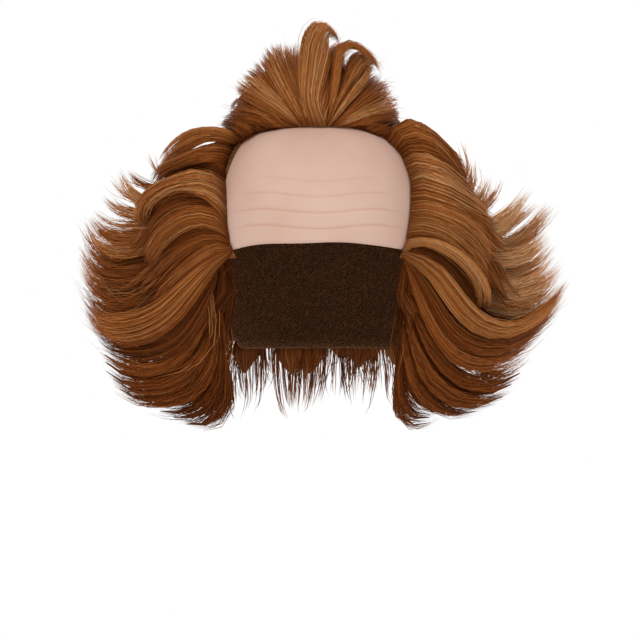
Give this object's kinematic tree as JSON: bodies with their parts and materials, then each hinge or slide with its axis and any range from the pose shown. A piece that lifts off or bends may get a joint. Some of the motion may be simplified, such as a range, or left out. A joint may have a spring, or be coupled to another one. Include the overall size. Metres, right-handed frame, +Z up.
{
  "type": "clown wig",
  "caption": "Worn clown wig: moulded latex bald front with brow wrinkles, swept-up curled tuft, and wavy copper-brown hair flicking out from the temples round a stretch cap.",
  "frame": {"origin": "inside of the cap where it sits on the crown of the head", "axes": "+Z up, -Y the way the wearer looks, +X to the right of someone who faces the wearer"},
  "size_m": [0.3473, 0.2454, 0.2927],
  "materials": {
    "latex": "matt skin-pink latex",
    "cap_net": "dark brown stretch net",
    "tuft_fibre": "glossy copper-brown synthetic hair",
    "side_fibre": "glossy copper-brown synthetic hair",
    "back_fibre": "glossy copper-brown synthetic hair"
  },
  "bodies": {
    "root": {"forehead_piece": "latex", "wig_cap": "cap_net", "crown_tuft": "tuft_fibre", "side_hair_left": "side_fibre", "side_hair_right": "side_fibre", "back_hair": "back_fibre"}
  },
  "joints": []
}
